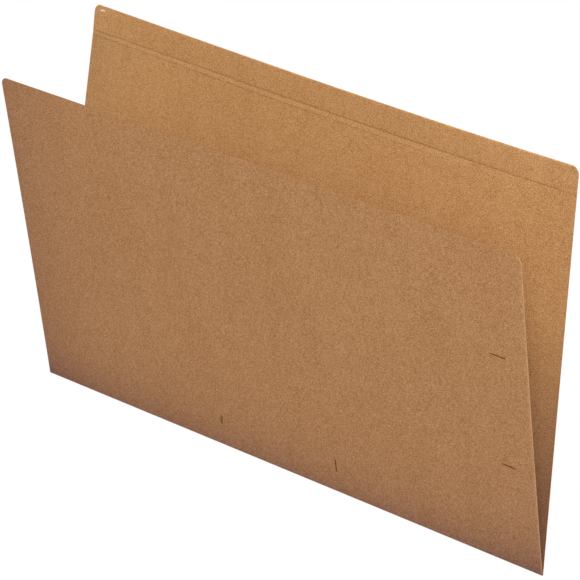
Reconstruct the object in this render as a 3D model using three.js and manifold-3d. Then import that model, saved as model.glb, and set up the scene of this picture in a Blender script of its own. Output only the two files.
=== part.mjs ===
// Kraft file folder, legal size, standing on its fold with its two panels leaning apart.
// It is one sheet of kraft card: creased along the bottom, and turned over and glued along the top of
// the back panel to make a tab of double thickness. The sheet is divided here at its creases.
//
// Millimetres. X runs along the fold, Y goes from the front panel to the back panel, Z is up.
// The origin is the middle of the fold's underside, on the surface that the folder stands on.

import * as THREE from "three";
import { mergeVertices } from "three/addons/utils/BufferGeometryUtils.js";
import Module from "manifold-3d";

// The card and its two panels
const cardThickness = 0.43;
const panelWidth = 374.65; // along the fold
const backHeight = 241.3; // from the fold's underside to the top of the tab
const tabHeight = 15.9; // the band at the top of the back panel that is two cards thick
const frontDrop = 11.8; // how far the front panel's top edge lies below that band
const cornerRadius = 4.8; // the four free corners

// The bottom fold, which both panels turn about
const closedGap = 0.3; // between the two inner faces when the folder is shut
const foldClearance = 0.3; // between the fold and the lower edge of each panel
const foldFlatWidth = 0.4; // where the crease is pressed flat under the folder

// The glued tab
const glueThickness = 0.06;
const glueMargin = 1.5; // from the edges of the turned-down ply to the glue
const seamClearance = 0.05; // between the layers of the tab

// Two pairs of cuts in the front panel for paper fasteners
const slitWidth = 0.5;
const endSlitLength = 8.3; // the pair near the right end, cut along the fold
const endSlitSpacing = 73.3;
const endSlitInset = 17.5; // from the right end
const endSlitMiddle = 108.6; // from the fold to halfway between the two
const foldSlitLength = 7.9; // the pair near the fold, cut across it
const foldSlitSpacing = 87.0;
const foldSlitInset = 20.0; // from the fold
const foldSlitShift = 3.2; // from the middle of the fold, to the right

// How far each panel leans out from upright at its left and right end
const frontLeanLeftDegrees = 7.4;
const frontLeanRightDegrees = 10.6;
const backLeanLeftDegrees = 13.5;
const backLeanRightDegrees = 2.7;
const backBow = 6.9; // how far the middle of the back panel's top edge curves forward of its ends

const panelSteps = 48; // divisions of a panel along the fold, so that it can bow and twist
const rowHeight = 30; // about how high the rows of facets in a panel are
const arcSegments = 6; // divisions of a quarter turn
const cutterSpare = 2; // how far the blocks that cut a panel stand out of it on each side

// Worked out from the sizes above
const halfWidth = panelWidth / 2;
const frontHeight = backHeight - tabHeight - frontDrop;
const innerFace = closedGap / 2; // from the hinge line to a panel's inner face
const outerFace = innerFace + cardThickness;
const hingeHeight = outerFace; // a panel that lies flat rests its outer face on the ground
const panelFoot = outerFace + foldClearance; // from the hinge line to a panel's lower edge
const frontTop = frontHeight - hingeHeight;
const backTop = backHeight - hingeHeight;
const plySpace = glueThickness + 2 * seamClearance; // between the back panel and its turned-down ply
const tabFoldRadius = plySpace / 2 + cardThickness; // outer radius of the fold along the tab's top
const tabFoldCentre = innerFace - plySpace / 2;
const tabFoldFoot = backTop - tabFoldRadius;
const plyTop = tabFoldFoot - seamClearance;
const plyFoot = backTop - tabHeight;
const plyFace = innerFace - plySpace; // the ply's face towards the glue
const cutterDepth = 2 * (outerFace + plySpace + cutterSpare);

const wasm = await Module();
wasm.setup();

// A closed mesh's geometry as a solid that can be cut.
function solidOf(geometry) {
  const bare = geometry.clone();
  bare.deleteAttribute("normal");
  bare.deleteAttribute("uv");
  const merged = mergeVertices(bare, 1e-5);
  return new wasm.Manifold(
    new wasm.Mesh({
      numProp: 3,
      vertProperties: merged.attributes.position.array,
      triVerts: new Uint32Array(merged.index.array),
    }),
  );
}

function geometryOf(solid) {
  const mesh = solid.getMesh();
  const geometry = new THREE.BufferGeometry();
  geometry.setAttribute("position", new THREE.BufferAttribute(mesh.vertProperties, 3));
  geometry.setIndex(new THREE.BufferAttribute(mesh.triVerts, 1));
  geometry.computeVertexNormals();
  return geometry;
}

function cut(geometry, cutters) {
  let solid = solidOf(geometry);
  for (const cutter of cutters) solid = solid.subtract(solidOf(cutter));
  return geometryOf(solid);
}

// Heights from one to another, a row apart.
function rowsBetween(foot, top) {
  const rows = Math.max(1, Math.round((top - foot) / rowHeight));
  return Array.from({ length: rows + 1 }, (_, i) => foot + ((top - foot) * i) / rows);
}

// A profile drawn in Y and Z and carried along the fold from one X to another.
function alongFold(profile, fromX, toX, steps) {
  const geometry = new THREE.ExtrudeGeometry(profile, {
    depth: toX - fromX,
    steps,
    bevelEnabled: false,
    curveSegments: arcSegments,
  });
  const axes = new THREE.Matrix4().makeBasis(
    new THREE.Vector3(0, 1, 0),
    new THREE.Vector3(0, 0, 1),
    new THREE.Vector3(1, 0, 0),
  );
  return geometry.applyMatrix4(axes).translate(fromX, 0, 0);
}

// A closed body from an upright face that looks towards -Y, which is given a thickness along Y. Both of
// its faces are split along the same diagonals, so that it keeps its thickness when it is shaped.
function thickened(face, thickness) {
  const position = face.attributes.position;
  const front = Array.from(face.index.array);
  const far = position.count;
  const points = Array.from(position.array);
  for (let i = 0; i < far; i++) {
    points.push(position.getX(i), position.getY(i) + thickness, position.getZ(i));
  }
  const triangles = [...front];
  const directed = new Set();
  for (let i = 0; i < front.length; i += 3) {
    const [a, b, c] = front.slice(i, i + 3);
    triangles.push(a + far, c + far, b + far);
    for (const edge of [[a, b], [b, c], [c, a]]) directed.add(edge.join());
  }
  for (const edge of directed) {
    const [a, b] = edge.split(",").map(Number);
    if (directed.has([b, a].join())) continue; // not on the border
    triangles.push(b, a, a + far, b, a + far, b + far);
  }
  const geometry = new THREE.BufferGeometry();
  geometry.setAttribute("position", new THREE.Float32BufferAttribute(points, 3));
  geometry.setIndex(triangles);
  geometry.computeVertexNormals();
  return geometry;
}

// One leaf of the folder: how it leans on the whole, and how much more at one end than at the other.
class Leaf {
  constructor(turnLeft, turnRight, bow = 0) {
    this.turn = THREE.MathUtils.degToRad((turnLeft + turnRight) / 2);
    this.twist = THREE.MathUtils.degToRad(turnRight - turnLeft);
    this.bow = bow;
    this.group = new THREE.Group();
    this.group.position.z = hingeHeight;
    this.group.rotation.x = this.turn;
  }

  turnAt(x) {
    return (this.twist * x) / panelWidth;
  }

  // How far the card curves forward: most in the middle of its top edge, and nothing along the
  // fold and at the two ends.
  bowAt(x, z) {
    const alongFold = 1 - (x / halfWidth) ** 2;
    return this.bow * alongFold * (z / backTop) ** 2;
  }

  // Bows each cross-section and turns it about the hinge line, a little more towards one end.
  shaped(geometry) {
    const position = geometry.attributes.position;
    const point = new THREE.Vector3();
    const axis = new THREE.Vector3(1, 0, 0);
    for (let i = 0; i < position.count; i++) {
      point.fromBufferAttribute(position, i);
      point.y -= this.bowAt(point.x, point.z);
      point.applyAxisAngle(axis, this.turnAt(point.x));
      position.setXYZ(i, point.x, point.y, point.z);
    }
    return geometry;
  }

  // A piece of card of constant thickness, as wide as asked, with its rows of facets between the
  // given heights.
  sheet(yLow, yHigh, heights, width = panelWidth) {
    const steps = Math.max(1, Math.round((panelSteps * width) / panelWidth));
    const rows = heights.length - 1;
    const face = new THREE.PlaneGeometry(width, 1, steps, rows).rotateX(Math.PI / 2);
    const position = face.attributes.position;
    for (let i = 0; i < position.count; i++) {
      const row = rows - Math.floor(i / (steps + 1)); // a plane's points start at its top
      position.setXYZ(i, position.getX(i), yLow, heights[row]);
    }
    return this.shaped(thickened(face, yHigh - yLow));
  }

  add(name, geometry, material) {
    const mesh = new THREE.Mesh(geometry, material);
    mesh.name = name;
    this.group.add(mesh);
  }

  // What a rounded corner takes off a panel: a square with a quarter disc left standing.
  cornerCutter(side, top) {
    const spare = cardThickness;
    const reach = cornerRadius + spare;
    const shape = new THREE.Shape();
    shape.moveTo(cornerRadius, 0);
    shape.absarc(0, 0, cornerRadius, 0, Math.PI / 2, false);
    shape.lineTo(0, reach);
    shape.lineTo(reach, reach);
    shape.lineTo(reach, 0);
    const geometry = new THREE.ExtrudeGeometry(shape, {
      depth: cutterDepth,
      bevelEnabled: false,
      curveSegments: arcSegments,
    });
    geometry.translate(0, 0, -cutterDepth / 2).rotateX(Math.PI / 2);
    if (side < 0) geometry.rotateZ(Math.PI);
    const middle = side * (halfWidth - cornerRadius);
    geometry.translate(middle, 0, top - cornerRadius);
    return geometry.rotateX(this.turnAt(side * halfWidth));
  }

  roundedCorners(top) {
    return [this.cornerCutter(-1, top), this.cornerCutter(1, top)];
  }

  // A narrow cut through a panel, along X or up it, with its middle at the given place.
  slitCutter(x, height, length, alongX) {
    const size = alongX ? [length, cutterDepth, slitWidth] : [slitWidth, cutterDepth, length];
    return new THREE.BoxGeometry(...size).translate(x, 0, height).rotateX(this.turnAt(x));
  }
}

function card(color) {
  return new THREE.MeshStandardMaterial({ color, roughness: 0.88, metalness: 0 });
}

function bottomFold() {
  const half = foldFlatWidth / 2;
  const profile = new THREE.Shape();
  profile.moveTo(-outerFace, 0);
  profile.absellipse(-half, 0, outerFace - half, outerFace, Math.PI, 1.5 * Math.PI, false);
  profile.absellipse(half, 0, outerFace - half, outerFace, 1.5 * Math.PI, 2 * Math.PI, false);
  profile.lineTo(innerFace, 0);
  profile.absarc(0, 0, innerFace, 0, -Math.PI, true);
  const mesh = new THREE.Mesh(alongFold(profile, -halfWidth, halfWidth, 1), card(0xa47749));
  mesh.name = "bottom_fold";
  mesh.position.z = hingeHeight;
  return mesh;
}

function frontLeaf() {
  const leaf = new Leaf(frontLeanLeftDegrees, frontLeanRightDegrees);
  const endX = halfWidth - endSlitInset;
  const middle = endSlitMiddle - hingeHeight;
  const foldHeight = foldSlitInset - hingeHeight;
  const slits = [-0.5, 0.5].flatMap((place) => [
    leaf.slitCutter(endX, middle + place * endSlitSpacing, endSlitLength, true),
    leaf.slitCutter(foldSlitShift + place * foldSlitSpacing, foldHeight, foldSlitLength, false),
  ]);
  const panel = leaf.sheet(-outerFace, -innerFace, rowsBetween(panelFoot, frontTop));
  leaf.add("front_flap", cut(panel, [...leaf.roundedCorners(frontTop), ...slits]), card(0xa87a4e));
  return leaf.group;
}

// The turned-over top of the back panel: half a ring round the glue, between the rounded corners.
function tabFold(leaf) {
  const width = panelWidth - 2 * cornerRadius;
  const profile = new THREE.Shape();
  profile.moveTo(tabFoldCentre + tabFoldRadius, tabFoldFoot);
  profile.absarc(tabFoldCentre, tabFoldFoot, tabFoldRadius, 0, Math.PI, false);
  profile.lineTo(plyFace, tabFoldFoot);
  profile.absarc(tabFoldCentre, tabFoldFoot, plySpace / 2, Math.PI, 0, true);
  return leaf.shaped(alongFold(profile, -width / 2, width / 2, panelSteps));
}

function backLeaf() {
  const leaf = new Leaf(-backLeanLeftDegrees, -backLeanRightDegrees, backBow);
  const corners = leaf.roundedCorners(backTop);
  const heights = [...rowsBetween(panelFoot, plyFoot), plyTop];
  const panel = leaf.sheet(innerFace, outerFace, heights);
  leaf.add("back_flap", cut(panel, corners), card(0xb98755));
  leaf.add("tab_top_fold", tabFold(leaf), card(0xb98755));
  const ply = leaf.sheet(plyFace - cardThickness, plyFace, [plyFoot, plyTop]);
  leaf.add("tab_inner_ply", cut(ply, corners), card(0xbd8b58));
  const glueFace = innerFace - seamClearance;
  const glueWidth = panelWidth - 2 * (cornerRadius + glueMargin);
  const glueHeights = [plyFoot + glueMargin, plyTop - glueMargin];
  const glue = leaf.sheet(glueFace - glueThickness, glueFace, glueHeights, glueWidth);
  const glueMaterial = new THREE.MeshStandardMaterial({ color: 0xd9c7a0, roughness: 0.5, metalness: 0 });
  leaf.add("tab_glue_line", glue, glueMaterial);
  return leaf.group;
}

const folder = new THREE.Group();
folder.add(bottomFold(), frontLeaf(), backLeaf());

export default folder;
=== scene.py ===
import math

import bpy
import numpy as np
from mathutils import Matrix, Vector


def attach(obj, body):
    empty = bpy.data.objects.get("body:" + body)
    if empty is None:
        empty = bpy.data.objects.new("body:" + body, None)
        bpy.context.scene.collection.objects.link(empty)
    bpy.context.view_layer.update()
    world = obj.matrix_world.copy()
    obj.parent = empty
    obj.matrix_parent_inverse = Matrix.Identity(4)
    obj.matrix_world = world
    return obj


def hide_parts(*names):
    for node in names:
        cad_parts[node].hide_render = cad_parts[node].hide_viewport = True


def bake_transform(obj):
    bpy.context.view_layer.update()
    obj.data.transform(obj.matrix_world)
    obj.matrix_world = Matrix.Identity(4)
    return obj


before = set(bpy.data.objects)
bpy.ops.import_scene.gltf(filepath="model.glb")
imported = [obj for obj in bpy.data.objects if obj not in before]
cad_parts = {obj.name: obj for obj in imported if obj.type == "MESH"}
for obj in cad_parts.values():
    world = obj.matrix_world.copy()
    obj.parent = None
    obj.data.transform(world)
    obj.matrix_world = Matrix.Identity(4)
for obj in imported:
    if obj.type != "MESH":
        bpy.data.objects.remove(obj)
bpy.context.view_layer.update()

mm = 0.001
sideStep = 1.0     # metres by which the pattern runs on from one side of the card to the next
tiny = 1e-6

# The card and where it bends, in mm: X runs along the fold, Y from the front panel to the back one, Z up
card = {
    "halfWidth": 187.325,
    "thickness": 0.43,
    "innerFace": 0.15,       # from the hinge line to a panel's inner face
    "outerFace": 0.58,       # the same to its outer face, and the hinge line's height
    "cornerRadius": 4.8,
    "cornerSteps": 8,
    "cornerReach": 16.0,     # the columns this near an end move in to round its corner
    "cornerEase": 1.5,
    "cornerGap": 0.3,        # least height between the even rows and the corner's own
    "edgeBulge": 0.07,       # how far the middle of a cut edge stands out
    "gridStep": 3.4,
    "creaseSteps": 22,
    "edgeInsets": (0.0, 0.35, 1.0, 2.2, 4.0),
    "nearest": 0.3,          # share of a grid step below which an even line gives way to an extra one
    "sharpAngle": 55.0,
}


def spacedLines(low, high, step, extra=()):
    # Even steps between two ends, closer near both, with extra lines put in and near doubles left out.
    # They are rounded, so that lines which differ by a rounding error alone fall together.
    insets = np.array(card["edgeInsets"])
    first, last = low + insets[-1], high - insets[-1]
    even = np.linspace(first, last, max(2, round((last - first) / step) + 1))
    extra = np.array(extra, float)
    if extra.size:
        gap = np.abs(even[:, None] - extra[None, :]).min(1)
        even = even[(gap > card["nearest"] * step) | (even == first) | (even == last)]
    return np.unique(np.round(np.concatenate([low + insets, even, extra, high - insets]), 6))


def narrowed(u, height, top):
    # rounds the two top corners: near an end, u moves in by what the corner's circle leaves out there
    radius = card["cornerRadius"]
    rise = np.clip(height - (top - radius), 0.0, radius)
    pullIn = radius - np.sqrt(radius**2 - rise**2)
    reach = card["cornerReach"]
    near = np.clip((np.abs(u) - (card["halfWidth"] - reach)) / reach, 0.0, 1.0)
    return u - np.sign(u) * pullIn * near ** card["cornerEase"]


def cornerHeights(top):
    # heights of the rows that follow the corner's circle, by equal steps of its angle
    radius = card["cornerRadius"]
    angle = np.linspace(0.0, math.pi / 2, card["cornerSteps"] + 1)[:-1]
    return top - radius + radius * np.sin(angle)


def sheetMesh(name, outer, inner, patternU, patternV, kept, cells):
    # A closed sheet from two grids of points, its outer and its inner face. Cells that aren't kept are
    # holes, and every open edge gets a rim of two strips whose middle line stands out a little.
    rows, cols = outer.shape[:2]
    count = rows * cols
    ids = np.arange(count).reshape(rows, cols)
    quads = np.stack([ids[:-1, :-1], ids[:-1, 1:], ids[1:, 1:], ids[1:, :-1]], -1)[kept]
    middle = (outer + inner).reshape(-1, 3) / 2

    # directed edges of the kept cells; those with no opposite are the border
    starts = quads.ravel()
    ends = np.roll(quads, -1, axis=1).ravel()
    centre = np.repeat(middle[quads].mean(1), 4, axis=0)
    key = starts.astype(np.int64) * count + ends
    opposite = ends.astype(np.int64) * count + starts
    border = ~np.isin(key, opposite)
    a, b, centre = starts[border], ends[border], centre[border]
    along = middle[b] - middle[a]
    along /= np.linalg.norm(along, axis=1, keepdims=True)
    away = (middle[a] + middle[b]) / 2 - centre
    away -= (away * along).sum(1, keepdims=True) * along
    away /= np.linalg.norm(away, axis=1, keepdims=True)
    outward = np.zeros_like(middle)
    np.add.at(outward, a, away)
    np.add.at(outward, b, away)
    rim = np.unique(np.concatenate([a, b]))
    length = np.linalg.norm(outward[rim], axis=1, keepdims=True)
    rimPoints = middle[rim] + card["edgeBulge"] * outward[rim] / length
    rimId = np.zeros(count, int)
    rimId[rim] = 2 * count + np.arange(rim.size)

    points = np.concatenate([outer.reshape(-1, 3), inner.reshape(-1, 3), rimPoints])
    outerStrip = np.stack([b, a, rimId[a], rimId[b]], 1)
    innerStrip = np.stack([rimId[b], rimId[a], a + count, b + count], 1)
    faces = np.concatenate([quads, quads[:, ::-1] + count, outerStrip, innerStrip])

    # the pattern's place at each face corner, in metres: the inner face lies a side step on, the rim two
    u = np.concatenate([patternU.ravel(), patternU.ravel(), patternU.ravel()[rim]])
    v = np.concatenate([patternV.ravel(), patternV.ravel(), patternV.ravel()[rim]])
    across = np.concatenate([np.zeros(count), np.full(count, 2.0), np.ones(rim.size)])
    place = np.stack([u[faces], v[faces]], -1) * mm
    innerFaces = slice(len(quads), 2 * len(quads))
    place[innerFaces, :, 0] += sideStep
    rimFaces = slice(2 * len(quads), None)
    place[rimFaces] += (across[faces[rimFaces]] * card["thickness"] / 2 * mm)[..., None]
    place[rimFaces, :, 0] += 2 * sideStep

    used = np.unique(faces)
    renumber = np.zeros(len(points), int)
    renumber[used] = np.arange(used.size)
    mesh = bpy.data.meshes.new(name)
    mesh.from_pydata((points[used] * mm).tolist(), [], renumber[faces].tolist())
    pattern = mesh.uv_layers.new(name="cardPlace")
    pattern.uv.foreach_set("vector", place.astype(np.float32).ravel())
    for label, grid in cells.items():
        both = np.concatenate([grid.ravel(), grid.ravel(), grid.ravel()[rim]])[used]
        mesh.attributes.new(label, "FLOAT", "POINT").data.foreach_set("value", both.astype(np.float32))
    sideways = np.abs(outward[rim, 0]) / length[:, 0]
    for label, share in (("cutSide", sideways), ("cutTop", 1 - sideways)):
        value = np.concatenate([np.zeros(2 * count), share])[used]
        mesh.attributes.new(label, "FLOAT", "POINT").data.foreach_set("value", value.astype(np.float32))
    mesh.shade_smooth()
    mesh.set_sharp_from_angle(angle=math.radians(card["sharpAngle"]))
    mesh.update()
    made = bpy.data.objects.new(name, mesh)
    bpy.context.collection.objects.link(made)
    return made


# The front panel: how it leans at its left and right end, how it bows, and its four cuts
frontPanel = {
    "height": 213.6,
    "lean": (7.365, 10.635),
    "sideBow": (0.472, -0.578),     # forward or back in the middle of its height, at each end
    "topBow": 0.182,
    "alongSlits": ((169.3, 145.3, 8.1), (170.0, 72.0, 7.4)),   # middle u, middle v, length
    "acrossSlits": ((-40.3, 19.3, 6.2), (46.7, 19.7, 7.2)),
    "slitHalfWidth": 0.25,
    "slitEnd": 0.05,
    "slitSteps": 8,
    "slitGuard": 2.2,               # grid lines on both sides of a slit, in half widths of it
    "nick": (83.0, 0.9, 0.7),       # height, half width and depth of a nick in the right edge
    "nickSteps": 4,
    "nickReach": 2.2,               # how far in from the edge the columns move for it
    "edgeReach": 0.7,
}


def creaseAngles(lean):
    # angles round the hinge line, from straight below it to where the panel starts, for each column
    part = np.linspace(0.0, 1.0, card["creaseSteps"] + 1)[:-1]
    return part[:, None] * (math.pi / 2 - lean)[None, :]


def frontPlace(u, height, face):
    # the panel turns out about the hinge line by a lean that grows along the fold, and bows a little
    share = (u + card["halfWidth"]) / (2 * card["halfWidth"])
    lean = np.radians(frontPanel["lean"][0] + (frontPanel["lean"][1] - frontPanel["lean"][0]) * share)
    up = height / frontPanel["height"]
    sideBow = frontPanel["sideBow"][0] * (1 - share) + frontPanel["sideBow"][1] * share
    out = face + sideBow * 4 * up * (1 - up) + frontPanel["topBow"] * 4 * share * (1 - share) * up**2
    rise = height - card["outerFace"]
    y = -rise * np.sin(lean) + out * np.cos(lean)
    z = card["outerFace"] + rise * np.cos(lean) + out * np.sin(lean)
    return np.stack([u, y, z], -1)


def slitLines(panel):
    half = panel["slitHalfWidth"]
    beside = np.array([-1, 1, -panel["slitGuard"], panel["slitGuard"]]) * half
    part = np.linspace(-1, 1, panel["slitSteps"] + 1)
    uLines, vLines = [], []
    for u, v, length in panel["alongSlits"]:
        uLines += list(u + length / 2 * part)
        vLines += list(v + beside)
    for u, v, length in panel["acrossSlits"]:
        vLines += list(v + length / 2 * part)
        uLines += list(u + beside)
    return uLines, vLines


def frontSheet():
    # crease rows round the hinge line, then rows up the panel; the two faces are the same sheet's sides
    half, hinge = card["halfWidth"], card["outerFace"]
    top = frontPanel["height"]
    uExtra, vExtra = slitLines(frontPanel)
    uLine = spacedLines(-half, half, card["gridStep"], uExtra)
    nickV, nickHalf, nickDepth = frontPanel["nick"]
    nickLines = nickV + nickHalf * np.linspace(-1, 1, frontPanel["nickSteps"] + 1)
    vLine = spacedLines(hinge, top, card["gridStep"], vExtra + list(nickLines))
    plain = vLine[vLine < top - card["cornerRadius"] - card["cornerGap"]]
    vLine = np.concatenate([plain, cornerHeights(top), [top]])
    baseU, baseV = np.meshgrid(uLine, vLine)

    # cuts: a lens along its own line, open in the middle and nearly shut at its ends
    kept = np.ones((len(vLine) - 1, len(uLine) - 1), bool)
    midU = (baseU[:-1, :-1] + baseU[1:, 1:]) / 2
    midV = (baseV[:-1, :-1] + baseV[1:, 1:]) / 2
    lip = np.zeros_like(baseU)
    u, v = baseU.copy(), baseV.copy()
    halfSlit, end = frontPanel["slitHalfWidth"], frontPanel["slitEnd"]
    for slitU, slitV, length in frontPanel["alongSlits"]:
        kept &= ~((np.abs(midU - slitU) < length / 2) & (np.abs(midV - slitV) < halfSlit))
        reach = np.clip(1 - ((baseU - slitU) / (length / 2)) ** 2, 0, 1)
        onLine = np.abs(np.abs(baseV - slitV) - halfSlit) < tiny
        onLine &= np.abs(baseU - slitU) < length / 2 + tiny
        opening = end + (halfSlit - end) * np.sqrt(reach)
        v = np.where(onLine, slitV + np.sign(baseV - slitV) * opening, v)
        lip = np.maximum(lip, onLine)
    for slitU, slitV, length in frontPanel["acrossSlits"]:
        kept &= ~((np.abs(midV - slitV) < length / 2) & (np.abs(midU - slitU) < halfSlit))
        reach = np.clip(1 - ((baseV - slitV) / (length / 2)) ** 2, 0, 1)
        onLine = np.abs(np.abs(baseU - slitU) - halfSlit) < tiny
        onLine &= np.abs(baseV - slitV) < length / 2 + tiny
        opening = end + (halfSlit - end) * np.sqrt(reach)
        u = np.where(onLine, slitU + np.sign(baseU - slitU) * opening, u)
        lip = np.maximum(lip, onLine)

    nicked = np.clip(1 - np.abs(v - nickV) / nickHalf, 0, 1)
    nicked = nicked * np.clip(1 - (half - u) / frontPanel["nickReach"], 0, 1)
    u = narrowed(u - nickDepth * nicked, v, top)
    panelOuter = frontPlace(u, v, -card["outerFace"])
    panelInner = frontPlace(u, v, -card["innerFace"])
    lean = np.radians(np.interp(uLine, (-half, half), frontPanel["lean"]))
    angle = creaseAngles(lean)
    creaseU = np.broadcast_to(uLine, angle.shape)

    def crease(radius):
        return np.stack([creaseU, -radius * np.sin(angle), hinge - radius * np.cos(angle)], -1)

    outer = np.concatenate([crease(card["outerFace"]), panelOuter])
    inner = np.concatenate([crease(card["innerFace"]), panelInner])
    patternU = np.concatenate([creaseU, u])
    steps = np.linspace(0, hinge, card["creaseSteps"] + 1)[:-1]
    patternV = np.concatenate([np.broadcast_to(steps[:, None], angle.shape), v])
    kept = np.concatenate([np.ones((card["creaseSteps"], len(uLine) - 1), bool), kept])
    lip = np.concatenate([np.zeros(angle.shape), lip])
    edge = half - patternU
    # seen from outside, columns go right and rows go up, so the quads of the outer face look to -Y
    return sheetMesh("frontSheet", outer, inner, patternU, patternV, kept,
                     {"nearEdge": np.exp(-np.maximum(edge, 0) / frontPanel["edgeReach"]), "slitLip": lip})


# The back panel, turned over along its top into the tab's second ply
backPanel = {
    "height": 241.3,
    "lean": (13.479, 2.68),
    "sideBow": (1.335, -0.329),
    "topBow": -6.939,
    "rollCentre": 0.07,
    "rollRadius": 0.51,
    "rollSteps": 12,
    "rowGap": 0.2,                  # least height between the corner's rows and the roll
    "plyFoot": (225.4, 226.35),     # height of the ply's lower edge at each end
    "pressedMargin": 13.5,          # towards that edge it is pressed thin and down on the panel
    "pressedEase": 1.25,
    "pressedFaces": (0.05, 0.145),
    "plySteps": 10,                 # even rows down to this share of the ply, then closer ones
    "plyEven": 0.9,
    "plyClose": (0.94, 0.975, 1.0),
    "edgeReach": 0.9,
}


def backPlace(u, height, face):
    # as the front, leaning the other way, with the middle of its top edge bowed forward
    share = (u + card["halfWidth"]) / (2 * card["halfWidth"])
    lean = np.radians(backPanel["lean"][0] + (backPanel["lean"][1] - backPanel["lean"][0]) * share)
    up = height / backPanel["height"]
    sideBow = backPanel["sideBow"][0] * (1 - share) + backPanel["sideBow"][1] * share
    out = face + sideBow * 4 * up * (1 - up) + backPanel["topBow"] * 4 * share * (1 - share) * up**2
    rise = height - card["outerFace"]
    y = rise * np.sin(lean) + out * np.cos(lean)
    z = card["outerFace"] + rise * np.cos(lean) - out * np.sin(lean)
    return np.stack([u, y, z], -1)


def pressedShare(height, foot):
    # from 0 above the pressed margin to 1 at the ply's lower edge, eased at its upper end
    return np.clip(1 - (height - foot) / backPanel["pressedMargin"], 0, 1) ** backPanel["pressedEase"]


def backSheet():
    # one sheet: round the crease, up the panel, over the roll at the top and down as the inner ply
    half, hinge = card["halfWidth"], card["outerFace"]
    top, radius = backPanel["height"], backPanel["rollRadius"]
    rollFoot = top - radius
    uLine = spacedLines(-half, half, card["gridStep"])
    vLine = spacedLines(hinge, rollFoot, card["gridStep"])
    corner = cornerHeights(top)
    corner = corner[corner < rollFoot - backPanel["rowGap"]]
    plain = vLine[vLine < top - card["cornerRadius"] - card["cornerGap"]]
    vLine = np.concatenate([plain, corner, [rollFoot]])
    baseU, panelV = np.meshgrid(uLine, vLine)

    turn = np.linspace(0, math.pi, backPanel["rollSteps"] + 1)[1:-1]
    innerRadius = radius - card["thickness"]

    def rolled(ring):
        return ring * np.cos(turn), rollFoot + ring * np.sin(turn)

    foot = np.interp(uLine, (-half, half), backPanel["plyFoot"])
    evenPart = np.linspace(0, backPanel["plyEven"], backPanel["plySteps"] + 1)[1:]
    part = np.concatenate([evenPart, backPanel["plyClose"]])
    fromTop = rollFoot - corner[::-1]
    lower = corner[0]
    plyV = np.concatenate([np.broadcast_to(rollFoot - np.concatenate([[0.0], fromTop])[:, None],
                                           (len(fromTop) + 1, len(uLine))),
                           lower + part[:, None] * (foot - lower)[None, :]])
    rollU = np.broadcast_to(uLine, (len(turn), len(uLine)))
    plyU = np.broadcast_to(uLine, plyV.shape)
    pressed = pressedShare(plyV, foot)

    def sheetSide(panelFace, ring, plyFace, footFace):
        ringFace, ringHeight = rolled(ring)
        ringHeight = np.broadcast_to(ringHeight[:, None], rollU.shape)
        panel = backPlace(narrowed(baseU, panelV, top), panelV, panelFace)
        roll = backPlace(narrowed(rollU, np.maximum(ringHeight, rollFoot), top), ringHeight,
                         backPanel["rollCentre"] + ringFace[:, None])
        ply = backPlace(narrowed(plyU, plyV, top), plyV, plyFace + (footFace - plyFace) * pressed)
        return np.concatenate([panel, roll, ply])

    centre, (footOuter, footInner) = backPanel["rollCentre"], backPanel["pressedFaces"]
    outerTop = sheetSide(card["outerFace"], radius, centre - radius, footOuter)
    innerTop = sheetSide(card["innerFace"], innerRadius, centre - innerRadius, footInner)

    lean = np.radians(np.interp(uLine, (-half, half), backPanel["lean"]))
    angle = creaseAngles(lean)
    creaseU = np.broadcast_to(uLine, angle.shape)

    def crease(ring):
        return np.stack([creaseU, ring * np.sin(angle), hinge - ring * np.cos(angle)], -1)

    outer = np.concatenate([crease(card["outerFace"]), outerTop])
    inner = np.concatenate([crease(card["innerFace"]), innerTop])
    steps = np.linspace(0, hinge, card["creaseSteps"] + 1)[:-1]
    ringPath = rollFoot + radius * turn
    patternU = np.concatenate([creaseU, narrowed(baseU, panelV, top), rollU, narrowed(plyU, plyV, top)])
    patternV = np.concatenate([np.broadcast_to(steps[:, None], angle.shape), panelV,
                               np.broadcast_to(ringPath[:, None], rollU.shape),
                               rollFoot + math.pi * radius + (rollFoot - plyV)])
    height = np.concatenate([np.zeros(angle.shape), panelV, np.full(rollU.shape, top), plyV])
    edge = np.minimum(half - np.abs(patternU), top - height)
    kept = np.ones((outer.shape[0] - 1, outer.shape[1] - 1), bool)
    return sheetMesh("backSheet", outer[:, ::-1], inner[:, ::-1], patternU[:, ::-1], patternV[:, ::-1], kept,
                     {"nearEdge": np.exp(-np.maximum(edge, 0) / backPanel["edgeReach"])[:, ::-1],
                      "slitLip": np.zeros(patternU.shape)})


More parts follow.
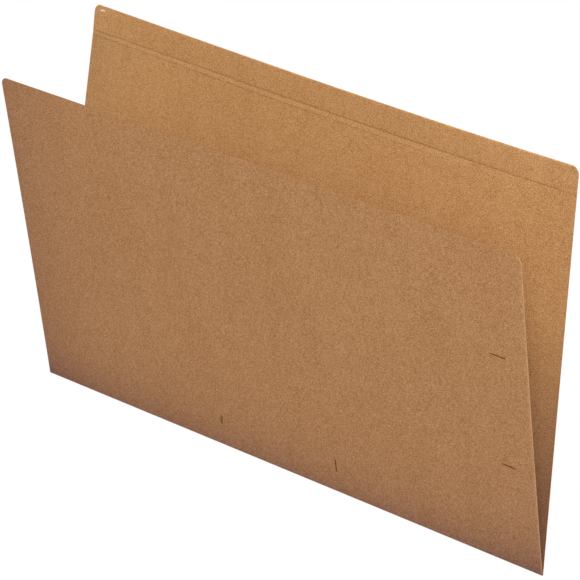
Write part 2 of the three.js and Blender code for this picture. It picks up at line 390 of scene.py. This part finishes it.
# Kraft card, in mm. Shares are of the way from its dark to its light colour, and the noises have a detail
# and a roughness.
kraft = {
    "flakeSize": 0.52,
    "flakeShare": 0.16,
    "grainDetail": (5.0, 0.66),
    "fibreAngles": (8, 38, 69, 97, 131, 158),
    "fibreSize": (2.6, 0.30),
    "fibreShare": (0.13, -0.13, 0.11, -0.11, 0.12, -0.12),
    "fibreDetail": (1.0, 0.5),
    "fibreRange": (0.56, 0.72),  # of its noise, from no fibre to a full one
    "fibreRelief": 0.35,
    "mottleSize": 3.2,
    "mottleShare": 0.14,
    "mottleDetail": (1.0, 0.5),
    "fleckCell": 5.0,            # one fleck at most in each cell
    "fleckRadius": 0.42,
    "fleckShare": 0.14,
    "fleckCore": 0.4,            # share of its radius that it fills
    "fleckChance": (0.80, 0.86), # a cell whose number is above these has one
    "cloudSize": (24, 90),       # pale and dark drifts that run up the panel
    "cloudShare": 0.10,
    "cloudDetail": (2.0, 0.5),
    "blotchSize": 9.0,
    "blotchShare": 0.15,
    "blotchDetail": (3.0, 0.55),
    "seeds": {"grain": 3, "mottle": 11, "cloud": 5, "blotch": 8, "fibre": 37},
    "ragged": (-0.4, 0.3, 0.8),  # how far the grain shifts a mark's outline, and where it starts and ends
    "bandEdge": 0.4,
    "bandLeft": 0.15,            # what stays of a pressed line past its end
    # painted shade on the lips of the slits
    "slitLipShade": -0.75,
    "rubbed": (226, 214, 200),   # where the surface is rubbed through to pale fibres
    "roughness": 0.86,
    "specular": 0.25,
    "relief": 0.35,
    "reliefDepth": 0.06,
    "tabHeights": (205.0, 236.0),        # where the outside's exposed tone gives way to the tab's
    "deepShadeHue": (1.02, 1.00, 1.09),       # a factor on red, green and blue, deep inside the folder: a painted, slightly lighter and bluer hue of the shade there
    "deepShadeHueHeights": (60.0, 170.0),     # below the first height in full, above the second not at all
    "insidePaintedShade": (0.34, 80.0),          # share and reach of the painted shade inside the crease
    "insideEndPaintedShade": (0.09, 16.0),       # and of the painted shade along its two ends
    "creaseEndShade": (0.78, 0.77, 1.0),     # a factor on red, green and blue, a painted shade at the two ends of the crease
    "creaseEndReach": (34.0, 80.0),      # in from the end and up from the crease
    "insideLeft": (0.935, 0.96, 0.97),   # the same, a painted shade along the inside's left end
    "insideLeftReach": 55.0,
    "slitLipShadeTint": (0.60, 0.58, 0.70),       # the same, a painted shade on the lips of the slits
    # how far red, green and blue take part in the painted shade, outside and inside
    "outsideTint": (1.0, 1.08, 0.45),
    "insideTint": (1.0, 1.08, 0.92),
}

# What is particular to each panel, with colours in sRGB from 0 to 255. Marks are spots of a tone:
# middle u and v, half length and half width, turn in degrees, and how much lighter or darker they are.
panelLooks = {
    "kraftFront": {
        "dark": (126, 73, 8),
        "light": (207, 159, 114),
        "coarseness": 1.3,            # a factor on flakes, fibres and mottle
        "grainSize": 0.82,            # clumps of pulp
        "grainShare": 1.36,
        # painted light on the cut edges that face sideways, painted shade on those that face up or down
        "sideCutPaintedLight": 0.22,
        "topCutPaintedShade": -0.65,
        # a painted highlight along the right cut edge
        "paintedEdgeLight": 0.25,
        "seed": 0.0,
        "exposed": (1.0, 1.0, 1.0),   # a factor on red, green and blue, on the outside below the tab
        "foldPaintedShade": (0.35, 16.0),     # share and reach of the painted shade along the crease
        "leftPaintedShade": (0.19, 30.0),     # and of the painted shade along the left edge
        "cornerPaintedShade": (0.17, 45.0, 60.0),    # and of the painted shade at the lower right corner, with its reach across and up
        "marks": (
            (182.9, 154.7, 0.55, 0.40, 20, -0.45),
            (173.7, 138.6, 1.15, 0.22, -35, 0.40),
            (172.3, 53.2, 0.55, 0.40, 0, 0.35),
            (47.6, 19.4, 0.45, 2.2, 0, 0.20),
        ),
        "scuffs": (),
        "bands": (),
    },
    "kraftBack": {
        "dark": (131, 78, 0),
        "light": (214, 167, 116),
        "coarseness": 1.1,
        "grainSize": 0.62,
        "grainShare": 1.88,
        # painted light on the cut edges that face sideways, painted shade on those that face up or down
        "sideCutPaintedLight": 0.10,
        "topCutPaintedShade": -0.25,
        # slightly darker along the edges
        "paintedEdgeLight": -0.02,
        "seed": 500.0,
        "exposed": (0.90, 0.885, 0.93),
        # painted shade along the crease and at the lower right corner, as on the front
        "foldPaintedShade": (0.35, 16.0),
        "leftPaintedShade": (0.0, 30.0),
        "cornerPaintedShade": (0.06, 45.0, 900.0),
        "marks": (),
        "scuffs": ((-179.4, 244.7, 3.2, 0.8, -7, 0.70),),
        # lines along the tab by the turned-down ply: height, rise per mm, half width, tone, and where it
        # fades out.
        # The first, at the ply's lower edge, is a painted shadow under that edge; the other two are pressed
        # in below it.
        "bands": (
            (225.55, 0.00254, 0.30, -0.10, (150.0, 300.0)),
            (223.75, 0.0012, 1.15, 0.06, (20.0, 230.0)),
            (222.1, 0.0, 0.30, -0.13, (10.0, 120.0)),
        ),
    },
}


def linear(colour):
    part = np.array(colour, float) / 255
    part = np.where(part <= 0.04045, part / 12.92, ((part + 0.055) / 1.055) ** 2.4)
    return (*part.tolist(), 1.0)


class Nodes:
    def __init__(self, name):
        self.material = bpy.data.materials.new(name)
        self.material.use_nodes = True
        self.tree = self.material.node_tree
        self.tree.nodes.clear()

    def add(self, kind, settings=None, inputs=()):
        made = self.tree.nodes.new(kind)
        for label, value in (settings or {}).items():
            setattr(made, label, value)
        for label, value in dict(inputs).items():
            if isinstance(value, bpy.types.NodeSocket):
                self.tree.links.new(value, made.inputs[label])
            else:
                made.inputs[label].default_value = value
        return made

    def math(self, operation, *values):
        return self.add("ShaderNodeMath", {"operation": operation}, dict(enumerate(values))).outputs[0]

    def plus(self, first, second, share=1.0):
        return self.math("MULTIPLY_ADD", second, share, first)

    def times(self, first, second):
        return self.math("MULTIPLY", first, second)

    def ranged(self, value, low, high, newLow=0.0, newHigh=1.0):
        numbers = {"Value": value, 1: low, 2: high, 3: newLow, 4: newHigh}
        return self.add("ShaderNodeMapRange", {"interpolation_type": "SMOOTHSTEP"}, numbers).outputs[0]

    def moved(self, vector, place=(0, 0), size=(1, 1), turn=0.0):
        # the pattern's own place, length and width, and turn
        numbers = {"Vector": vector, "Location": (*place, 0), "Scale": (*size, 1),
                   "Rotation": (0, 0, math.radians(turn))}
        return self.add("ShaderNodeMapping", {"vector_type": "TEXTURE"}, numbers).outputs[0]

    def noise(self, vector, size, detail=2.0, roughness=0.5, seed=0.0, turn=0.0):
        sizes = size if isinstance(size, tuple) else (size, size)
        place = self.moved(vector, (seed, 0.7 * seed), sizes, turn)
        numbers = {"Vector": place, "Scale": 1.0, "Detail": detail, "Roughness": roughness}
        return self.add("ShaderNodeTexNoise", {"noise_dimensions": "2D"}, numbers).outputs[0]

    def attribute(self, label):
        return self.add("ShaderNodeAttribute", {"attribute_name": label}).outputs["Fac"]


def kraftCard(name):
    look = panelLooks[name]
    nodes = Nodes(name)
    place = nodes.add("ShaderNodeUVMap", {"uv_map": "cardPlace"}).outputs[0]
    spot = nodes.moved(place, (0, 0), (mm, mm))
    apart = nodes.add("ShaderNodeSeparateXYZ", {}, {0: spot})
    u, v = apart.outputs[0], apart.outputs[1]
    step = sideStep / mm
    innerU = nodes.plus(u, -step)
    pastOuter = nodes.math("GREATER_THAN", u, step / 2)
    outerSide = nodes.math("LESS_THAN", u, step / 2)
    innerSide = nodes.times(pastOuter, nodes.math("LESS_THAN", u, 1.5 * step))
    seed = look["seed"]

    def swing(tone, pattern, share):
        # up or down by half the share about the middle of the pattern
        return nodes.plus(nodes.plus(tone, pattern, share), 1.0, -share / 2)

    def cardNoise(label, size):
        return nodes.noise(spot, size, *kraft[label + "Detail"], seed + kraft["seeds"][label])

    clumps = cardNoise("grain", look["grainSize"])
    tone = swing(0.5, clumps, look["grainShare"])
    flakes = nodes.add("ShaderNodeTexVoronoi", {"voronoi_dimensions": "2D"}, {
        "Vector": nodes.moved(spot, (seed, 0), (kraft["flakeSize"],) * 2), "Scale": 1.0})
    flakeTone = nodes.add("ShaderNodeSeparateColor", {}, {0: flakes.outputs["Color"]}).outputs[0]
    tone = swing(tone, flakeTone, kraft["flakeShare"] * look["coarseness"])
    tone = swing(tone, cardNoise("mottle", kraft["mottleSize"]), kraft["mottleShare"] * look["coarseness"])
    relief = clumps
    for index, angle in enumerate(kraft["fibreAngles"]):
        ownSeed = seed + kraft["seeds"]["fibre"] * index
        strands = nodes.noise(spot, kraft["fibreSize"], *kraft["fibreDetail"], ownSeed, angle)
        fibre = nodes.ranged(strands, *kraft["fibreRange"])
        tone = nodes.plus(tone, fibre, kraft["fibreShare"][index] * look["coarseness"])
        relief = nodes.plus(relief, fibre, kraft["fibreRelief"])
    for label in ("cloud", "blotch"):
        tone = swing(tone, cardNoise(label, kraft[label + "Size"]), kraft[label + "Share"])

    cells = nodes.add("ShaderNodeTexVoronoi", {"voronoi_dimensions": "2D"},
                      {"Vector": nodes.moved(spot, (seed, seed), (kraft["fleckCell"],) * 2), "Scale": 1.0})
    reach = kraft["fleckRadius"] / kraft["fleckCell"]
    near = nodes.ranged(cells.outputs["Distance"], kraft["fleckCore"] * reach, reach, 1.0, 0.0)
    kind = nodes.add("ShaderNodeSeparateColor", {}, {0: cells.outputs["Color"]})
    pale = nodes.times(near, nodes.ranged(kind.outputs[0], *kraft["fleckChance"]))
    brown = nodes.times(near, nodes.ranged(kind.outputs[1], *kraft["fleckChance"]))
    tone = nodes.plus(nodes.plus(tone, pale, kraft["fleckShare"]), brown, -kraft["fleckShare"])

    shift, fadeStart, fadeEnd = kraft["ragged"]

    def raggedSpot(markU, markV, length, width, turn):
        # 1 in the middle of a turned ellipse and 0 outside it, with an outline that the grain roughens
        inMark = nodes.moved(spot, (markU, markV), (length, width), turn)
        off = nodes.add("ShaderNodeVectorMath", {"operation": "LENGTH"}, {0: inMark}).outputs["Value"]
        return nodes.ranged(nodes.plus(off, clumps, shift), fadeStart, fadeEnd, 1.0, 0.0)

    for *where, share in look["marks"]:
        tone = nodes.plus(tone, raggedSpot(*where), share)
    # the first band is a painted shadow under the ply's lower edge, the others are pressed lines
    for height, slope, half, share, (fadeFrom, fadeTo) in look["bands"]:
        off = nodes.math("ABSOLUTE", nodes.plus(nodes.plus(v, -height), innerU, -slope))
        fade = nodes.ranged(innerU, fadeFrom, fadeTo, 1.0, kraft["bandLeft"])
        line = nodes.ranged(off, half, half + kraft["bandEdge"], 1.0, 0.0)
        tone = nodes.plus(tone, nodes.times(nodes.times(line, fade), pastOuter), share)
    # painted light on cut edges that face sideways and painted shade on those that face up or down
    tone = nodes.plus(tone, nodes.attribute("cutSide"), look["sideCutPaintedLight"])
    tone = nodes.plus(tone, nodes.attribute("cutTop"), look["topCutPaintedShade"])
    # near the edge: on the front a painted highlight along its right cut edge, on the back slightly darker
    tone = nodes.plus(tone, nodes.attribute("nearEdge"), look["paintedEdgeLight"])
    # painted shade on the lips of the slits
    tone = nodes.plus(tone, nodes.attribute("slitLip"), kraft["slitLipShade"])

    coloured = nodes.add("ShaderNodeMix", {"data_type": "RGBA"},
                         {0: tone, 6: linear(look["dark"]), 7: linear(look["light"])}).outputs[2]
    for *where, share in look["scuffs"]:
        rubbed = nodes.times(raggedSpot(*where), share)
        coloured = nodes.add("ShaderNodeMix", {"data_type": "RGBA"},
                             {0: rubbed, 6: coloured, 7: linear(kraft["rubbed"])}).outputs[2]

    def falling(distance, reach):
        # e to the minus distance over reach
        return nodes.math("EXPONENT", nodes.times(distance, -1 / reach))

    def bell(distance, reach):
        # e to the minus square of distance over reach
        part = nodes.times(distance, 1 / reach)
        return nodes.math("EXPONENT", nodes.times(nodes.times(part, -1.0), part))

    # painted shade on the outside: darker along the crease, the left edge and the lower right corner
    foldShare, foldReach = look["foldPaintedShade"]
    leftShare, leftReach = look["leftPaintedShade"]
    leftPaintedShade = falling(nodes.plus(u, card["halfWidth"]), leftReach)
    paintedOutsideShade = nodes.plus(nodes.times(falling(v, foldReach), foldShare), leftPaintedShade, leftShare)
    cornerShare, cornerAcross, cornerUp = look["cornerPaintedShade"]
    fromRight = nodes.times(nodes.plus(u, -card["halfWidth"]), 1 / cornerAcross)
    cornerPaintedShade = nodes.math("EXPONENT", nodes.plus(fromRight, v, -1 / cornerUp))
    paintedOutsideShade = nodes.plus(paintedOutsideShade, cornerPaintedShade, cornerShare)
    # painted shade inside the crease: darker deep down between the panels, along its two ends and at its
    # left end
    insideShare, insideReach = kraft["insidePaintedShade"]
    endShare, endReach = kraft["insideEndPaintedShade"]
    fromEnd = nodes.plus(card["halfWidth"], nodes.math("ABSOLUTE", innerU), -1.0)
    insidePaintedShade = nodes.times(bell(v, insideReach), insideShare)
    insidePaintedShade = nodes.plus(insidePaintedShade, falling(fromEnd, endReach), endShare)
    acrossReach, upReach = kraft["creaseEndReach"]
    creaseEnd = nodes.times(falling(fromEnd, acrossReach), bell(v, upReach))
    insideLeft = falling(nodes.plus(innerU, card["halfWidth"]), kraft["insideLeftReach"])
    toned = coloured
    for where, factor in (
        (nodes.times(paintedOutsideShade, outerSide), [1 - part for part in kraft["outsideTint"]]),
        (nodes.times(insidePaintedShade, innerSide), [1 - part for part in kraft["insideTint"]]),
        # a painted, lighter and bluer hue of the shade deep inside the crease
        (nodes.times(nodes.ranged(v, *kraft["deepShadeHueHeights"], 1.0, 0.0), innerSide), kraft["deepShadeHue"]),
        (nodes.times(nodes.ranged(v, *kraft["tabHeights"], 1.0, 0.0), outerSide), look["exposed"]),
        (nodes.times(creaseEnd, innerSide), kraft["creaseEndShade"]),
        (nodes.times(insideLeft, innerSide), kraft["insideLeft"]),
        (nodes.attribute("slitLip"), kraft["slitLipShadeTint"]),
    ):
        tint = nodes.add("ShaderNodeMix", {"data_type": "VECTOR", "clamp_factor": False},
                         {0: where, 4: (1.0, 1.0, 1.0), 5: factor}).outputs[1]
        toned = nodes.add("ShaderNodeVectorMath", {"operation": "MULTIPLY"}, {0: toned, 1: tint}).outputs[0]

    bump = nodes.add("ShaderNodeBump", {}, {
        "Height": relief, "Strength": kraft["relief"], "Distance": kraft["reliefDepth"] * mm})
    shader = nodes.add("ShaderNodeBsdfPrincipled", {}, {
        "Base Color": toned, "Roughness": kraft["roughness"], "Specular IOR Level": kraft["specular"],
        "Normal": bump.outputs[0]})
    nodes.add("ShaderNodeOutputMaterial", {}, {0: shader.outputs[0]})
    return nodes.material


front = frontSheet()
front.data.materials.append(kraftCard("kraftFront"))
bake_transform(front)
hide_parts("front_flap")
print("front panel made")

back = backSheet()
back.data.materials.append(kraftCard("kraftBack"))
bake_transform(back)
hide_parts("back_flap", "tab_top_fold", "tab_inner_ply", "bottom_fold")
print("back panel and tab made")

# Dried glue between the tab's two plies, inset from the ply's edges
glue = {
    "colour": (217, 199, 160),
    "dark": (190, 166, 122),
    "roughness": 0.45,
    "cloudSize": 6.0,
    "cloudDetail": (4.0, 0.6),
    "cloudRange": (0.35, 0.65),
    "inset": 6.3,            # from the tab's ends
    "fromFoot": 1.5,
    "fromTop": 2.1,
    "filled": (0.15, 0.85),  # the part of the gap that it fills
    "columns": 112,
    "rows": 9,
}


def glueLayer():
    # a thin sheet in the gap between the back panel's inner face and the ply's, with a bead round its edge
    half = card["halfWidth"] - glue["inset"]
    uLine = np.linspace(-half, half, glue["columns"])
    foot = np.interp(uLine, (-card["halfWidth"], card["halfWidth"]), backPanel["plyFoot"])
    part = np.linspace(0, 1, glue["rows"])[:, None]
    low = foot + glue["fromFoot"]
    height = low + part * (backPanel["height"] - glue["fromTop"] - low)
    u = np.broadcast_to(uLine, height.shape)
    plyFace = backPanel["rollCentre"] - (backPanel["rollRadius"] - card["thickness"])
    plyFace = plyFace + (backPanel["pressedFaces"][1] - plyFace) * pressedShare(height, foot)
    gap = card["innerFace"] - plyFace
    first, last = glue["filled"]
    kept = np.ones((height.shape[0] - 1, height.shape[1] - 1), bool)
    return sheetMesh("glueLayer", backPlace(u, height, plyFace + first * gap),
                     backPlace(u, height, plyFace + last * gap), u, height, kept, {})


def driedGlue():
    nodes = Nodes("driedGlue")
    place = nodes.add("ShaderNodeUVMap", {"uv_map": "cardPlace"}).outputs[0]
    spot = nodes.moved(place, (0, 0), (mm, mm))
    cloud = nodes.ranged(nodes.noise(spot, glue["cloudSize"], *glue["cloudDetail"]), *glue["cloudRange"])
    colour = nodes.add("ShaderNodeMix", {"data_type": "RGBA"},
                       {0: cloud, 6: linear(glue["dark"]), 7: linear(glue["colour"])}).outputs[2]
    finish = {"Base Color": colour, "Roughness": glue["roughness"]}
    shader = nodes.add("ShaderNodeBsdfPrincipled", {}, finish)
    nodes.add("ShaderNodeOutputMaterial", {}, {0: shader.outputs[0]})
    return nodes.material


layer = glueLayer()
layer.data.materials.append(driedGlue())
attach(layer, "back_leaf")
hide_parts("tab_glue_line")
print("glue finished")

# A pale floor, which the camera sees as white with the shadow on it, and soft light
studio = {
    "floorSize": 8.0,
    "floorHeight": -0.0014,          # room for the bow of a panel that lies open
    "floorAlbedo": 0.42,
    "seenAlbedo": 0.95,
    "whiteShare": (0.92, 1.0),       # near the folder and far from it
    "whiteReach": (0.30, 0.90),      # metres
    "ambient": 0.30,
    "lamps": {                       # place and aim in metres, size in metres, power in watts
        "topSoftbox": ((-0.1, -0.45, 1.2), (0, 0, 0.1), 0.6, 8.3),
        "sideSoftbox": ((1.0, -0.9, 1.1), (0, 0, 0.1), 1.1, 20.3),
        "farSoftbox": ((2.2, -1.1, 1.6), (0, 0, 0.1), 1.4, 21.5),
        "backSoftbox": ((-0.4, 1.9, 1.0), (0, 0, 0.1), 1.2, 26.0),
    },
}


def paleFloor():
    nodes = Nodes("paleFloor")
    byCamera = nodes.add("ShaderNodeLightPath").outputs["Is Camera Ray"]
    albedo = nodes.ranged(byCamera, 0, 1, studio["floorAlbedo"], studio["seenAlbedo"])
    colour = nodes.add("ShaderNodeCombineColor", {}, {0: albedo, 1: albedo, 2: albedo}).outputs[0]
    plain = nodes.add("ShaderNodeBsdfDiffuse", {}, {0: colour}).outputs[0]
    white = nodes.add("ShaderNodeEmission", {}, {1: 1.0}).outputs[0]
    coords = nodes.add("ShaderNodeTexCoord").outputs["Object"]
    distance = nodes.add("ShaderNodeVectorMath", {"operation": "LENGTH"}, {0: coords}).outputs["Value"]
    share = nodes.times(nodes.ranged(distance, *studio["whiteReach"], *studio["whiteShare"]), byCamera)
    mixed = nodes.add("ShaderNodeMixShader", {}, {0: share, 1: plain, 2: white}).outputs[0]
    nodes.add("ShaderNodeOutputMaterial", {}, {0: mixed})
    return nodes.material


side, level = studio["floorSize"] / 2, studio["floorHeight"]
corners = [(x * side, y * side, level) for x, y in ((-1, -1), (1, -1), (1, 1), (-1, 1))]
floorMesh = bpy.data.meshes.new("floor")
floorMesh.from_pydata(corners, [], [(0, 1, 2, 3)])
floor = bpy.data.objects.new("floor", floorMesh)
bpy.context.collection.objects.link(floor)
floor.data.materials.append(paleFloor())

world = bpy.data.worlds.new("studio")
bpy.context.scene.world = world
world.use_nodes = True
tree = world.node_tree
tree.nodes.clear()
rays = tree.nodes.new("ShaderNodeLightPath")
seenWhite = rays.outputs["Is Camera Ray"]
for kind in ("Is Glossy Ray", "Is Transmission Ray"):
    either = tree.nodes.new("ShaderNodeMath")
    either.operation = "MAXIMUM"
    tree.links.new(seenWhite, either.inputs[0])
    tree.links.new(rays.outputs[kind], either.inputs[1])
    seenWhite = either.outputs[0]
backdrop = tree.nodes.new("ShaderNodeMixShader")
tree.links.new(seenWhite, backdrop.inputs[0])
for index, strength in ((1, studio["ambient"]), (2, 1.0)):
    background = tree.nodes.new("ShaderNodeBackground")
    background.inputs["Color"].default_value = (1, 1, 1, 1)
    background.inputs["Strength"].default_value = strength
    tree.links.new(background.outputs[0], backdrop.inputs[index])
tree.links.new(backdrop.outputs[0], tree.nodes.new("ShaderNodeOutputWorld").inputs[0])


def aimed(thing, place, aim):
    thing.location = place
    thing.rotation_euler = (Vector(aim) - Vector(place)).to_track_quat("-Z", "Y").to_euler()
    bpy.context.collection.objects.link(thing)


for name, (place, aim, size, power) in studio["lamps"].items():
    lamp = bpy.data.lights.new(name, "AREA")
    lamp.shape = "SQUARE"
    lamp.size = size
    lamp.energy = power
    softbox = bpy.data.objects.new(name, lamp)
    softbox.visible_camera = False
    aimed(softbox, place, aim)
print("lights and floor ready")

view = {
    "place": (0.71163, -0.88417, 0.68639),
    "aim": (-0.0234, 0.0416, 0.0941),
    "lens": 137.25,
    "sensor": 36.0,
    "clip": (0.05, 20.0),
}
camera = bpy.data.objects.new("camera", bpy.data.cameras.new("camera"))
camera.data.lens = view["lens"]
camera.data.sensor_width = view["sensor"]
camera.data.clip_start, camera.data.clip_end = view["clip"]
aimed(camera, view["place"], view["aim"])
scene = bpy.context.scene
scene.camera = camera
scene.view_settings.view_transform = "Standard"
print("camera ready")
